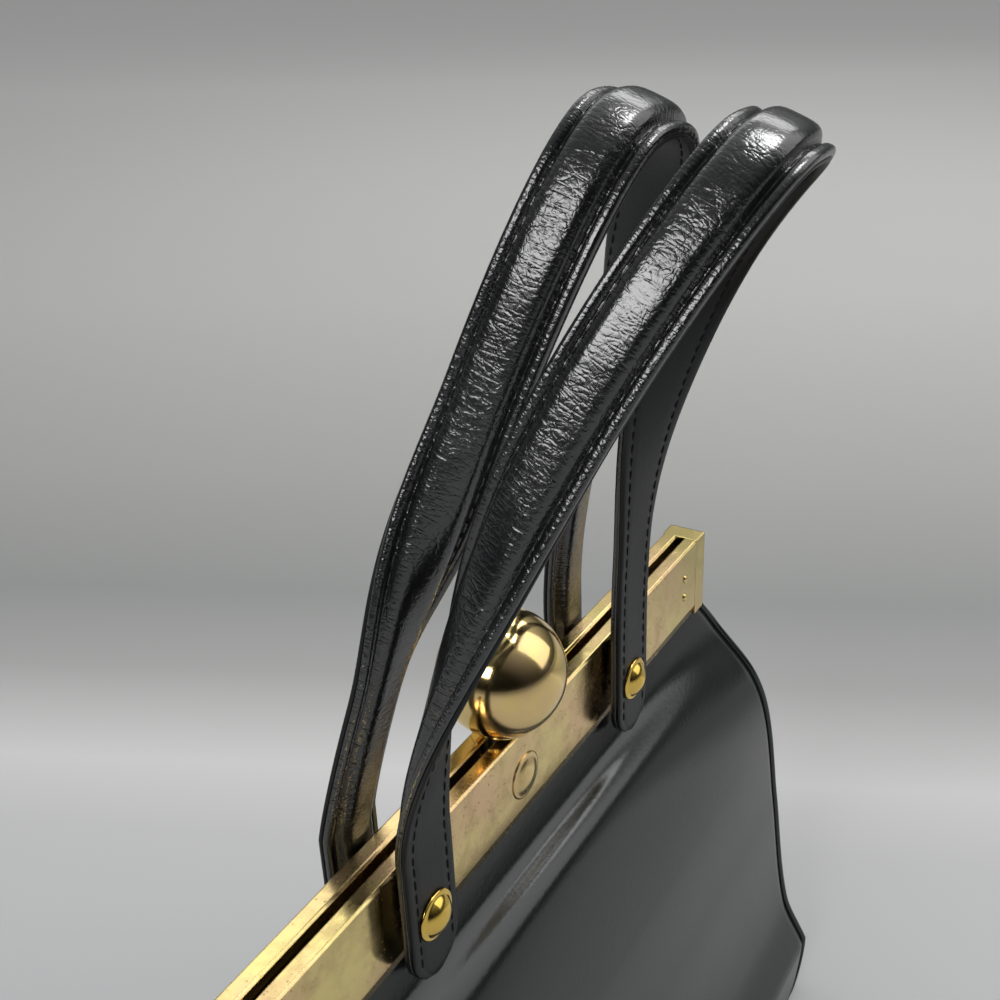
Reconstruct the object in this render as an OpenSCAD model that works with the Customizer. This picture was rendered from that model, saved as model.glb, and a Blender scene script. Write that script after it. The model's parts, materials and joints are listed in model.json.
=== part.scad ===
// Frame purse with a single-ball clasp and two padded strap handles.
// The table is z = 0, the mouth runs along X, and the front looks towards -Y.

/* [Frame] */
// Height of the frame's top above the table
frame_top = 160; // [140:1:200]
// Length of the front half
front_length = 178; // [150:1:220]
// Depth of the closed frame over both bars
frame_depth = 9.4; // [9:0.1:12]
// Gap between the closed bars
mouth_gap = 1.9; // [1.7:0.1:2.4]
// Thickness of the brass sheet
sheet = 0.8; // [0.6:0.1:0.9]
// Height of each outer panel's flat face
panel_height = 19; // [18:0.5:24]
// Height of the turned-in lip under the face
lip_height = 3; // [2:0.5:4]
// Height of each inner leg
inner_leg = 8; // [6:0.5:8]
// Width of the rear half's end posts
post_width = 5; // [4:0.5:7]
// Depth of the hinge pins under the frame's top
pin_drop = 40; // [34:1:46]
// Diameter of the hinge pins
pin_d = 3; // [2:0.5:4]

/* [Clasp] */
// Diameter of the ball
ball_d = 26.6; // [20:0.2:30]
// Wall of the hollow ball
ball_wall = 1; // [0.6:0.1:2]
// Diameter of the ring under the ball
ring_d = 14; // [10:0.5:15]
// Thickness of the ring under the ball
ring_h = 0.7; // [0.5:0.1:1]
// Height of the ring's top above the frame
ring_top = 1.9; // [1.9:0.1:3]
// Depth of the lever's pivot under the frame's top
pivot_drop = 15.5; // [15:0.5:17]
// Width of the lever's blade
blade_w = 8; // [6:0.5:10]
// Thickness of the lever's blade
blade_t = 1; // [0.8:0.1:1.1]
// Forward tilt that frees the lever, in degrees
lever_tilt = 5; // [4:0.5:6]
// Diameter of the lever's pin
lever_pin_d = 1.6; // [1.2:0.2:1.8]
// Diameter of the catch stud
stud_d = 2.4; // [2:0.2:3]
// Diameter of the bracket rivet's head
bracket_rivet_d = 10; // [8:0.5:12]

/* [Handles] */
// Distance between a handle's rivets
rivet_spacing = 82.8; // [70:0.2:100]
// Depth of the rivets under the frame's top
rivet_drop = 11.2; // [10:0.2:13]
// Diameter of a rivet's head
rivet_d = 10; // [8:0.5:12]
// Height of a rivet's dome over its flange
rivet_dome = 2; // [1.5:0.1:3]
// Diameter of a rivet's shank
shank_d = 3.5; // [2.5:0.5:4]
// Width of the straps
strap_w = 14.5; // [12:0.5:18]
// Width of the padded middle of a strap
pad_w = 8.8; // [7:0.2:11]
// Height of the padded middle over the lining
pad_h = 3.9; // [3:0.1:5]
// Thickness of the stitched edges over the lining
flange_h = 1.3; // [1:0.1:2]
// Thickness of a strap's cover leather
cover_t = 0.9; // [0.6:0.1:1.1]
// Thickness of a strap's lining leather
strap_lining = 1; // [0.8:0.1:1.5]
// Length of a tab below the frame's top
tab_drop = 25; // [22:1:30]
// Rise of the front handle over its bends
front_rise = 117; // [90:1:150]
// Rise of the rear handle over its bends
rear_rise = 119.7; // [90:0.1:150]
// Forward lean of the front handle's top
front_lean = 44.5; // [35:0.5:60]
// Forward lean of the rear handle's top
rear_lean = 35; // [20:1:40]

/* [Bag] */
// Width of the base
base_width = 228; // [210:1:280]
// Depth of the base
base_depth = 70; // [60:1:110]
// Radius of the lower corners
corner_r = 14; // [8:1:24]
// Thickness of the body leather
leather = 1; // [0.8:0.1:1]
// Thickness of the front and back boards
board = 1.2; // [0.8:0.1:2]
// Thickness of the base board
base_board_t = 2; // [1.5:0.5:4]
// Height of the front and back boards
board_height = 92; // [60:1:95]
// Thickness of the lining cloth
cloth = 0.4; // [0.3:0.1:0.4]
// Width of the inner pocket
pocket_w = 110; // [80:1:140]
// Height of the inner pocket
pocket_h = 55; // [40:1:60]

/* [Hidden] */
$fn = 48;

BRASS = [0.72, 0.63, 0.40];
GOLD = [0.86, 0.72, 0.32];
STEEL = [0.62, 0.63, 0.64];
BLACK = [0.10, 0.10, 0.11];
LINING = [0.16, 0.14, 0.13];
CARD = [0.55, 0.47, 0.36];

// Gaps: press for pressed fits, slip for faces that lie together or turn.
press = 0.02;
slip = 0.05;
// How far a cutting shape passes the face it cuts.
through = 1;

// Heights over the hinge pins, and drops from the frame's top or from the neck.
ear_notch_rise = 9;
ear_neck_rise = 12;
upper_rivet_drop = 7.6;
lower_rivet_drop = 13;
strip_rivet_inset = 7;
stud_drop = 4.5;
split_drop = 12;

// Frame. The halves turn on ears that hang inside the bag.
half_depth = frame_depth / 2;
half_gap = mouth_gap / 2;
half_front = front_length / 2;
edge = 0.5;
end_gap = 0.3;
post_out = half_front + end_gap + post_width;
pin_z = frame_top - pin_drop;
pin_r = pin_d / 2;
pin_head_t = 0.7;
pin_head_r = pin_r + 1;
spacer_r = pin_r + 1.5;
ear_t = 1.2;
ear_r = pin_r + 2.5;
ear_neck = 1.2;
ear_side = ear_r - 1;
ear_low = pin_z + 2;
ear_mid = pin_z + ear_notch_rise;
ear_high = pin_z + ear_neck_rise;
lip_in = 0.9;
lip_t = 0.5;
neck_z = frame_top - panel_height - lip_height;

// The clamped layers behind a panel, measured as distances from y = 0.
lining_in = half_gap + sheet + slip;
leather_in = lining_in + cloth + slip;
leather_out = leather_in + leather;
strip_in = leather_out + slip;
strip_out = half_depth - sheet - press;
pack_top = frame_top - 4;
strip_half = half_front - 4;
strip_top = frame_top - 2;
strip_h = 15;
strip_rivet_x = half_front - strip_rivet_inset;
strip_rivet_r = 1.1;
strip_rivet_dome = 0.6;
strip_shank_r = 0.55;
strip_rivet_z = [frame_top - upper_rivet_drop, frame_top - lower_rivet_drop];

// Clasp
ball_r = ball_d / 2;
ball_z = frame_top + ring_top + sqrt(ball_r * ball_r - ring_d * ring_d / 4);
pivot_z = frame_top - pivot_drop;
lever_pin_r = lever_pin_d / 2;
lever_pin_out = 0.4;
eye_r = lever_pin_r + 0.7;
stem_r = 2.3;
stem_in = 2;
blade_top = frame_top + ring_top - ring_h - 0.4;
slot_half = blade_w / 2 + 1;
slot_in = blade_t / 2 + pivot_drop * sin(lever_tilt) + 0.2;
spring_gap = 0.2;
bracket_ear_in = blade_w / 2 + 1.2;
bracket_ear_t = 1;
bracket_t = 0.4;
bracket_half = bracket_ear_in + bracket_ear_t + 1.3;
bracket_top = frame_top - inner_leg - 0.3;
bracket_low = pivot_z - 3;
bracket_rivet_dome = 0.9;
stud_z = frame_top - stud_drop;
stud_reach = 0.3;
stud_room = 0.4;

// Straps
rivet_z = frame_top - rivet_drop;
rivet_flange_t = 0.6;
rivet_dome_r = 0.41 * rivet_d;
washer_t = 0.5;
washer_r = 3;
strap_t = strap_lining + pad_h;
strap_mid = strap_t / 2;
tab_y = half_depth + slip;
strap_y = tab_y + strap_mid;
tab_top = frame_top + 0.25;
bend_z = tab_top + strap_mid + 0.3;
tab_tip_z = frame_top - tab_drop + strap_w / 2;
// Slope cut from a tab's outer top edge, which makes room for the folded strap.
tab_slope_t = 3.6;
tab_slope_drop = 3.2;

// Bag. How the leather spreads from the neck, as shares of the fall and of the spread.
depth_shape = [[0, 0], [0.08, 0.14], [0.19, 0.43], [0.3, 0.56], [0.55, 0.66], [0.87, 0.8], [1, 1]];
width_shape = [[0, 0], [0.06, 0.22], [0.15, 0.4], [0.3, 0.57], [0.55, 0.72], [0.87, 0.89], [1, 1]];
// Levels between the neck and the corners, drawn closer together near the neck.
stations = 16;
closer = 1.4;
least_step = 0.1;
arc_steps = 6;
neck_x = post_out + 1.3;
board_foot = leather + slip + base_board_t + slip;
board_top = board_foot + board_height;
board_clear = 3;
lining_split = neck_z - split_drop;
pocket_drop = 5;

// Smooth curve through a list of [share, value] points, with the slope taken from its neighbours.
function slope_at(list, k) = let (a = list[max(0, k - 1)], b = list[min(len(list) - 1, k + 1)])
    (b[1] - a[1]) / (b[0] - a[0]);
function through(list, u, k = 0) = u > list[k + 1][0] && k < len(list) - 2 ? through(list, u, k + 1)
    : let (
        wide = list[k + 1][0] - list[k][0],
        t = (u - list[k][0]) / wide
    ) list[k][1] * (1 + 2 * t) * (1 - t) * (1 - t) + list[k + 1][1] * t * t * (3 - 2 * t)
        + wide * (slope_at(list, k) * t * (1 - t) * (1 - t) - slope_at(list, k + 1) * t * t * (1 - t));
function spread(list, z) = through(list, max(0, min(1, (neck_z - z) / (neck_z - corner_r))));
function depth_at(z) = leather_out + (base_depth / 2 - leather_out) * spread(depth_shape, z);
// Half width of the front outline at height z, drawn in by inset all round.
function width_at(z, inset) = z >= corner_r
    ? neck_x + (base_width / 2 - neck_x) * spread(width_shape, z) - inset
    : base_width / 2 - corner_r
        + sqrt(max(0, pow(corner_r - inset, 2) - pow(corner_r - z, 2)));
function levels(inset, z0, z1) = let (
    arc = [for (k = [1:arc_steps]) corner_r - (corner_r - inset) * cos(90 * k / arc_steps)],
    rise = [for (k = [stations - 1:-1:1]) neck_z - (neck_z - corner_r) * pow(k / stations, closer)]
) concat([z0], [for (z = concat(arc, rise)) if (z > z0 + least_step && z < z1 - least_step) z], [z1]);
function turned(list) = [for (k = [len(list) - 1:-1:0]) list[k]];

// Extrudes a [y, z] outline along X, and an [x, z] outline along Y.
module along_x(x0, x1) {
    translate([x0, 0, 0]) rotate([90, 0, 90]) linear_extrude(x1 - x0) children();
}
module along_y(y0, y1) {
    translate([0, y1, 0]) rotate([90, 0, 0]) linear_extrude(y1 - y0) children();
}
module rod_x(x0, x1, y, z, r) {
    translate([x0, y, z]) rotate([0, 90, 0]) cylinder(h = x1 - x0, r = r);
}
module rod_y(x, y0, y1, z, r) {
    translate([x, y1, z]) rotate([90, 0, 0]) cylinder(h = y1 - y0, r = r);
}
module both_ends() {
    children();
    mirror([1, 0, 0]) children();
}
module at_rear() {
    mirror([0, 1, 0]) children();
}

// Frame halves. The front half's section is drawn, and the rear half mirrors it.
module bar_section() {
    polygon([
        [-half_gap, frame_top - inner_leg], [-half_gap, frame_top - edge],
        [-half_gap - edge, frame_top], [-half_depth + edge, frame_top],
        [-half_depth, frame_top - edge], [-half_depth, frame_top - panel_height],
        [-half_depth + lip_in, neck_z], [-half_depth + lip_in + lip_t, neck_z],
        [-half_depth + sheet, frame_top - panel_height], [-half_depth + sheet, frame_top - sheet],
        [-half_gap - sheet, frame_top - sheet], [-half_gap - sheet, frame_top - inner_leg]
    ]);
}
module shank_holes(y0, y1) {
    for (side = [-1, 1]) rod_y(side * rivet_spacing / 2, y0, y1, rivet_z, shank_d / 2);
}
module strip_rivet_holes(y0, y1) {
    for (side = [-1, 1], z = strip_rivet_z)
        rod_y(side * strip_rivet_x, y0, y1, z, strip_shank_r);
}
module front_ear() {
    difference() {
        union() {
            along_x(half_front - ear_t, half_front) polygon([
                [-half_depth + edge, frame_top - edge], [-half_gap, frame_top - edge],
                [-half_gap, ear_mid], [ear_side, ear_low], [0, pin_z], [-ear_side, ear_low],
                [-half_gap - ear_neck, ear_high], [-half_gap - ear_neck, frame_top - panel_height],
                [-half_depth + edge, frame_top - panel_height]
            ]);
            rod_x(half_front - ear_t, half_front, 0, pin_z, ear_r);
        }
        rod_x(half_front - ear_t - through, half_front + through, 0, pin_z, pin_r + slip);
    }
}
module bracket_rivet_hole(y0, y1) {
    rod_y(0, y0, y1, rivet_z, shank_d / 2);
}
module front_frame_half() {
    color(BRASS) difference() {
        union() {
            along_x(-half_front, half_front) bar_section();
            both_ends() front_ear();
        }
        translate([-slot_half, -slot_in, frame_top - inner_leg - through])
            cube([2 * slot_half, slot_in, inner_leg + 2 * through]);
        shank_holes(-half_depth - through, -lining_in);
        strip_rivet_holes(-half_depth - through, -lining_in);
        bracket_rivet_hole(-half_depth - through, -lining_in);
    }
}
module end_post() {
    difference() {
        union() {
            translate([half_front + end_gap, -half_depth, frame_top - sheet])
                cube([post_width, frame_depth, sheet]);
            for (y = [-half_depth, half_depth - sheet])
                translate([half_front + end_gap, y, neck_z])
                    cube([post_width, sheet, frame_top - neck_z]);
            translate([post_out - sheet, -half_depth, neck_z])
                cube([sheet, frame_depth, frame_top - neck_z]);
            along_x(post_out - sheet, post_out) polygon([
                [-half_gap - ear_neck, neck_z + edge], [half_gap + ear_neck, neck_z + edge],
                [half_gap + ear_neck, ear_high], [ear_side, ear_low], [0, pin_z],
                [-ear_side, ear_low], [-half_gap - ear_neck, ear_high]
            ]);
            rod_x(post_out - sheet, post_out, 0, pin_z, ear_r);
        }
        rod_x(post_out - sheet - through, post_out + through, 0, pin_z, pin_r);
    }
}
module rear_frame_half() {
    color(BRASS) difference() {
        union() {
            at_rear() along_x(-post_out, post_out) bar_section();
            both_ends() end_post();
        }
        at_rear() shank_holes(-half_depth - through, -lining_in);
        at_rear() strip_rivet_holes(-half_depth - through, -lining_in);
        rod_y(0, 0, lining_in, stud_z, stud_d / 2);
    }
}
module clamp_strip() {
    color(STEEL) difference() {
        translate([-strip_half, -strip_out, strip_top - strip_h])
            cube([2 * strip_half, strip_out - strip_in, strip_h]);
        shank_holes(-half_depth, 0);
        strip_rivet_holes(-half_depth, 0);
        bracket_rivet_hole(-half_depth, 0);
    }
}
module front_clamp_strip() {
    clamp_strip();
}
module rear_clamp_strip() {
    at_rear() clamp_strip();
}
// A round head as a flat-based dome that looks towards -Y.
module dome_y(x, y, z, r, h) {
    cap_r = (r * r + h * h) / (2 * h);
    translate([x, y, z]) rotate([90, 0, 0]) rotate_extrude() intersection() {
        translate([0, h - cap_r]) circle(r = cap_r, $fn = 96);
        square([r + 1, h + 1]);
    }
}
module strip_rivets() {
    color(BRASS) for (side = [-1, 1], z = strip_rivet_z) {
        dome_y(side * strip_rivet_x, -half_depth, z, strip_rivet_r, strip_rivet_dome);
        rod_y(side * strip_rivet_x, -half_depth, -strip_in, z, strip_shank_r);
    }
}
module front_strip_rivets() {
    strip_rivets();
}
module rear_strip_rivets() {
    at_rear() strip_rivets();
}

// Hinge pins, with a head at each end and a spacer between the two ears.
module hinge_pin() {
    inner = half_front - ear_t - slip;
    outer = post_out + slip;
    color(STEEL) {
        rod_x(inner - pin_head_t, outer + pin_head_t, 0, pin_z, pin_r);
        rod_x(inner - pin_head_t, inner, 0, pin_z, pin_head_r);
        rod_x(outer, outer + pin_head_t, 0, pin_z, pin_head_r);
    }
}
module hinge_spacer() {
    color(BRASS) difference() {
        rod_x(half_front + 2 * slip, post_out - sheet, 0, pin_z, spacer_r);
        rod_x(half_front, post_out, 0, pin_z, pin_r + press);
    }
}
module right_hinge_pin() {
    hinge_pin();
}
module left_hinge_pin() {
    mirror([1, 0, 0]) hinge_pin();
}
module right_hinge_spacer() {
    hinge_spacer();
}
module left_hinge_spacer() {
    mirror([1, 0, 0]) hinge_spacer();
}

// Clasp: a hollow ball on a lever that tilts in the gap.
module clasp_ball() {
    color(GOLD) translate([0, 0, ball_z]) rotate_extrude($fn = 96) difference() {
        intersection() {
            circle(r = ball_r, $fn = 96);
            translate([0, frame_top + ring_top - ball_z]) square([ball_r, 2 * ball_r]);
        }
        circle(r = ball_r - ball_wall, $fn = 96);
    }
}
module ball_base_ring() {
    color(GOLD) difference() {
        translate([0, 0, frame_top + ring_top - ring_h]) cylinder(h = ring_h, r = ring_d / 2);
        translate([0, 0, frame_top]) cylinder(h = ring_top + through, r = stem_r + press);
    }
}
module clasp_lever() {
    color(STEEL) difference() {
        union() {
            translate([-blade_w / 2, -blade_t / 2, pivot_z])
                cube([blade_w, blade_t, blade_top + press - pivot_z]);
            rod_x(-blade_w / 2, blade_w / 2, 0, pivot_z, eye_r);
            translate([0, 0, blade_top])
                cylinder(h = frame_top + ring_top + stem_in - blade_top, r = stem_r);
        }
        rod_x(-blade_w, blade_w, 0, pivot_z, lever_pin_r + slip);
        rod_y(0, -blade_t, blade_t, stud_z, stud_d / 2 + stud_room);
    }
}
module clasp_pin() {
    reach = bracket_ear_in + bracket_ear_t + lever_pin_out;
    color(STEEL) rod_x(-reach, reach, 0, pivot_z, lever_pin_r);
}
module clasp_springs() {
    color(STEEL) both_ends() difference() {
        rod_x(blade_w / 2 + spring_gap, bracket_ear_in - spring_gap, 0, pivot_z, eye_r - slip);
        rod_x(blade_w / 2, bracket_ear_in, 0, pivot_z, lever_pin_r + 2 * slip);
    }
}
module clasp_bracket() {
    color(BRASS) difference() {
        union() {
            translate([-bracket_half, -half_gap - sheet, bracket_low])
                cube([2 * bracket_half, bracket_t, bracket_top - bracket_low]);
            both_ends() {
                rod_x(bracket_ear_in, bracket_ear_in + bracket_ear_t, 0, pivot_z, eye_r);
                translate([bracket_ear_in, -half_gap - sheet, pivot_z - eye_r])
                    cube([bracket_ear_t, half_gap + sheet, 2 * eye_r]);
            }
        }
        rod_x(-bracket_half, bracket_half, 0, pivot_z, lever_pin_r);
        translate([-bracket_ear_in, -half_depth, bracket_low - through])
            cube([2 * bracket_ear_in, half_depth, pivot_z + eye_r + spring_gap + through - bracket_low]);
        bracket_rivet_hole(-half_depth, 0);
    }
}
module clasp_rivet() {
    color(BRASS) {
        dome_y(0, -half_depth, rivet_z, bracket_rivet_d / 2, bracket_rivet_dome);
        rod_y(0, -half_depth, bracket_t - half_gap - sheet, rivet_z, shank_d / 2);
    }
}
module catch_stud() {
    color(STEEL) {
        rod_y(0, 0, half_gap + sheet, stud_z, stud_d / 2);
        dome_y(0, 0, stud_z, stud_d / 2, stud_reach);
    }
}

// Straps. Each leg starts at the bend over its tab, turns a quarter while it climbs, and runs
// over the top. The curve is a Bezier in x and z that leans forward as it rises.
// Each leg: how far its foot draws in, how far foot and top pull the curve, the curve of its lean,
// and the heights between which it turns. Worn straps lean differently on the left and on the right.
draw_in = 0;
foot_pull = 1;
top_pull = 2;
lean_curve = 3;
turn_from = 4;
turn_to = 5;
front_left_leg = [-3.8, 38.5, 22.6, 1.57, 0, 87];
front_right_leg = [-2.2, 64, 45, 2.7, 17, 114];
rear_left_leg = [13.6, 66.7, 18.7, 1.25, 26, 82];
rear_right_leg = [6, 68, 38, 1.58, 44, 112];
rings_per_leg = 26;
end_steps = [0.98, 0.8, 0.45];
// A handle: y of its bends, rise, lean, left leg, right leg, and the way it turns.
bend_y = 0;
rise = 1;
lean = 2;
left_leg = 3;
right_leg = 4;
flip = 5;
function bezier(a, b, c, d, t) = pow(1 - t, 3) * a + 3 * pow(1 - t, 2) * t * b
    + 3 * (1 - t) * t * t * c + t * t * t * d;
// At s, which runs from -1 at the left bend to 1 at the right bend.
function leg_at(handle, s) = handle[s < 0 ? left_leg : right_leg];
function leg_x(handle, s) = let (half = rivet_spacing / 2, leg = leg_at(handle, s))
    (s < 0 ? -1 : 1) * bezier(half, half - leg[draw_in], leg[top_pull], 0, 1 - abs(s));
function leg_z(handle, s) = bezier(0, leg_at(handle, s)[foot_pull], handle[rise], handle[rise], 1 - abs(s));
function lean_y(handle, s) = -handle[lean]
    * pow(leg_z(handle, s) / handle[rise], leg_at(handle, s)[lean_curve]);
function unit(v) = v / norm(v);
// Point of the strap's middle.
function strap_point(handle, s)
    = [leg_x(handle, s), handle[bend_y] + lean_y(handle, s), bend_z + leg_z(handle, s)];
function turn_at(leg, z) = let (u = max(0, min(1, (z - leg[turn_from]) / (leg[turn_to] - leg[turn_from]))))
    90 * (1 - u * u * (3 - 2 * u));
step = 0.004;
function strap_frame(handle, s) = let (
    a = strap_point(handle, max(-1, s - step)),
    b = strap_point(handle, min(1, s + step)),
    along = unit(b - a),
    z = leg_z(handle, s),
    leg = leg_at(handle, s),
    power = leg[lean_curve],
    slope = atan(handle[lean] * power * pow(z / handle[rise], power - 1) / handle[rise]),
    plane = [0, -cos(slope), -sin(slope)],
    across = unit(plane - (plane * along) * along),
    outward = cross(across, along),
    turn = turn_at(leg, z)
) [strap_point(handle, s), cos(turn) * across + handle[flip] * sin(turn) * outward,
   cos(turn) * outward - handle[flip] * sin(turn) * across];
// A ring of the section's points: each is [across the strap, out from the lining's back].
function ring(section, f, squeeze) = [for (p = section)
    f[0] + p[0] * f[1] + squeeze * (p[1] - strap_mid) * f[2]];
function level(v) = [v[0], v[1], 0];
function end_ring(section, f, drop) = [for (p = section)
    f[0] - [0, 0, drop * strap_mid] + p[0] * level(f[1])
        + sqrt(1 - drop * drop) * (p[1] - strap_mid) * level(f[2])];
// Faces that lie together split along the same diagonal, so that layers don't cut each other.
// A section with several points in a row on one side has its ends closed as a fan from its first point.
module strap_layer(section, handle, fan = false) {
    first = strap_frame(handle, -1);
    last = strap_frame(handle, 1);
    rings = concat(
        [for (d = end_steps) end_ring(section, first, d)],
        [for (k = [0:2 * rings_per_leg])
            ring(section, strap_frame(handle, k / rings_per_leg - 1), 1)],
        [for (d = turned(end_steps)) end_ring(section, last, d)]
    );
    n = len(section);
    final = (len(rings) - 1) * n;
    polyhedron(
        points = [for (r = rings) each r],
        faces = concat(
            fan ? [for (k = [1:n - 2]) [0, k + 1, k]] : [[for (k = [n - 1:-1:0]) k]],
            [for (r = [0:len(rings) - 2], k = [0:n - 1], half = [0, 1]) let (
                next = (k + 1) % n, a = r * n + k, b = r * n + next
            ) section[next][0] > section[k][0]
                ? (half == 0 ? [a, b, a + n] : [b, b + n, a + n])
                : (half == 0 ? [a, b, b + n] : [a, b + n, a + n])],
            fan ? [for (k = [1:n - 2]) [final, final + k, final + k + 1]]
                : [[for (k = [0:n - 1]) final + k]]
        )
    );
}
pad_half = pad_w / 2;
core_half = pad_half - cover_t;
core_top = strap_t - cover_t - slip;
strap_half = strap_w / 2;
flange_top = strap_lining + flange_h;
cover_low = strap_lining + press;
// Shares of the padded half width and falls from its top that round the padding off.
round_x = [0.85, 0.45];
round_z = [1, 0.2];
hollow_x = 0.8 * core_half;
hollow_z = core_top - 0.8;
hollow_gap = 2 * slip;
cover_section = [
    [-strap_half, cover_low], [-core_half - hollow_gap, cover_low], [-hollow_x, hollow_z],
    [0, core_top + slip], [hollow_x, hollow_z], [core_half + hollow_gap, cover_low],
    [strap_half, cover_low], [strap_half, flange_top], [pad_half, flange_top],
    [pad_half * round_x[0], strap_t - round_z[0]], [pad_half * round_x[1], strap_t - round_z[1]],
    [0, strap_t],
    [-pad_half * round_x[1], strap_t - round_z[1]], [-pad_half * round_x[0], strap_t - round_z[0]],
    [-pad_half, flange_top], [-strap_half, flange_top]
];
core_section = [
    [-core_half, cover_low], [core_half, cover_low], [hollow_x - 2 * slip, hollow_z - hollow_gap],
    [0, core_top - hollow_gap], [2 * slip - hollow_x, hollow_z - hollow_gap]
];
lining_section = [
    [-strap_half, 0], [strap_half, 0], [strap_half, strap_lining],
    [core_half + hollow_gap, strap_lining], [core_half, strap_lining],
    [-core_half, strap_lining], [-core_half - hollow_gap, strap_lining], [-strap_half, strap_lining]
];
front_handle = [-strap_y, front_rise, front_lean, front_left_leg, front_right_leg, 1];
rear_handle = [strap_y, rear_rise, rear_lean, rear_left_leg, rear_right_leg, -1];
module front_layer(section, fan = false) {
    strap_layer(section, front_handle, fan);
}
module rear_layer(section, fan = false) {
    strap_layer(section, rear_handle, fan);
}
module front_handle_cover() {
    color(BLACK) front_layer(cover_section);
}
module front_handle_core() {
    color(CARD) front_layer(core_section);
}
module front_handle_lining() {
    color(BLACK) front_layer(lining_section, true);
}
module rear_handle_cover() {
    color(BLACK) rear_layer(cover_section);
}
module rear_handle_core() {
    color(CARD) rear_layer(core_section);
}
module rear_handle_lining() {
    color(BLACK) rear_layer(lining_section, true);
}

// Tabs: the straps' ends, pressed flat on the panels by a rivet each.
module tab(side) {
    x = side * rivet_spacing / 2;
    color(BLACK) difference() {
        union() {
            along_x(x - strap_half, x + strap_half) polygon([
                [-tab_y - strap_t, tab_tip_z], [-tab_y, tab_tip_z],
                [-tab_y, tab_top], [-tab_y - strap_t + tab_slope_t, tab_top],
                [-tab_y - strap_t, tab_top - tab_slope_drop]
            ]);
            rod_y(x, -tab_y - strap_t, -tab_y, tab_tip_z, strap_half);
        }
        rod_y(x, -tab_y - strap_t - through, 0, rivet_z, shank_d / 2);
    }
}
module front_left_tab() {
    tab(-1);
}
module front_right_tab() {
    tab(1);
}
module rear_left_tab() {
    at_rear() tab(-1);
}
module rear_right_tab() {
    at_rear() tab(1);
}
module handle_rivets() {
    head_y = -tab_y - strap_t;
    color(GOLD) for (side = [-1, 1]) {
        rod_y(side * rivet_spacing / 2, head_y - rivet_flange_t, head_y, rivet_z, rivet_d / 2);
        dome_y(side * rivet_spacing / 2, head_y - rivet_flange_t, rivet_z, rivet_dome_r, rivet_dome);
        rod_y(side * rivet_spacing / 2, head_y, -lining_in + washer_t, rivet_z, shank_d / 2);
    }
}
module rivet_washers() {
    color(BRASS) for (side = [-1, 1]) difference() {
        rod_y(side * rivet_spacing / 2, -lining_in, -lining_in + washer_t, rivet_z, washer_r);
        rod_y(side * rivet_spacing / 2, -half_depth, 0, rivet_z, shank_d / 2);
    }
}
module front_handle_rivets() {
    handle_rivets();
}
module rear_handle_rivets() {
    at_rear() handle_rivets();
}
module front_rivet_washers() {
    rivet_washers();
}
module rear_rivet_washers() {
    at_rear() rivet_washers();
}

// The front and back panels follow the side profile. One strip of three pieces follows
// the front outline: down one end, under the bag and up the other end.
module side_profile(inset, z0, z1) {
    zs = levels(0, z0, z1);
    polygon(concat([for (z = zs) [inset - depth_at(z), z]],
        [for (z = turned(zs)) [depth_at(z) - inset, z]]));
}
module front_outline(inset, z0, z1) {
    zs = levels(inset, max(z0, inset), z1);
    polygon(concat([for (z = zs) [-width_at(z, inset), z]],
        [for (z = turned(zs)) [width_at(z, inset), z]]));
}
// The panels' rivets pass through the leather and the lining with a little room.
module face_holes() {
    for (x = [-rivet_spacing / 2, 0, rivet_spacing / 2])
        rod_y(x, -half_depth, 0, rivet_z, shank_d / 2 + 2 * slip);
}
module leather_outline() {
    zs = levels(0, 0, neck_z);
    right = concat([for (z = zs) [width_at(z, 0), z]], [[strip_half, neck_z], [strip_half, pack_top]]);
    polygon(concat([for (p = right) [-p[0], p[1]]], turned(right)));
}
module leather_face() {
    zs = levels(0, 0, neck_z);
    color(BLACK) difference() {
        intersection() {
            along_x(-base_width, base_width) polygon(concat(
                [for (z = zs) [-depth_at(z), z]],
                [[-leather_out, pack_top], [-leather_in, pack_top]],
                [for (z = turned(zs)) [leather - depth_at(z), z]]
            ));
            along_y(-base_depth, 0) leather_outline();
        }
        face_holes();
    }
}
module front_leather() {
    leather_face();
}
module back_leather() {
    at_rear() leather_face();
}
module strip_between(x0, z0, z1) {
    color(BLACK) intersection() {
        along_y(-base_depth, base_depth) intersection() {
            difference() {
                front_outline(0, 0, neck_z);
                union() {
                    front_outline(leather, 0, neck_z);
                    translate([leather - neck_x, neck_z - through])
                        square([2 * (neck_x - leather), 2 * through]);
                }
            }
            translate([x0, z0]) square([base_width, z1 - z0]);
        }
        along_x(-base_width, base_width) side_profile(leather, 0, neck_z);
    }
}
module right_gusset() {
    strip_between(0, corner_r, neck_z);
}
module left_gusset() {
    mirror([1, 0, 0]) right_gusset();
}
module bottom_leather() {
    strip_between(-base_width / 2, 0, corner_r);
}
board_inset = leather + slip;
// What lies between two offsets of the front panel, within an inset of the front outline.
module lined_face(inset, thick, outline_inset, z0, z1) {
    zs = levels(0, z0, z1);
    intersection() {
        along_x(-base_width, base_width) polygon(concat(
            [for (z = zs) [inset - depth_at(z), z]],
            [for (z = turned(zs)) [inset + thick - depth_at(z), z]]
        ));
        along_y(-base_depth, 0) front_outline(outline_inset, z0, z1);
    }
}
module base_board() {
    z0 = board_inset;
    z1 = z0 + base_board_t;
    color(CARD) intersection() {
        along_x(-base_width, base_width) side_profile(board_inset, z0, z1);
        along_y(-base_depth, base_depth) front_outline(board_inset, z0, z1);
    }
}
module face_board() {
    color(CARD) lined_face(board_inset, board, board_foot, board_foot, board_top);
}
module front_board() {
    face_board();
}
module back_board() {
    at_rear() face_board();
}
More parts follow.
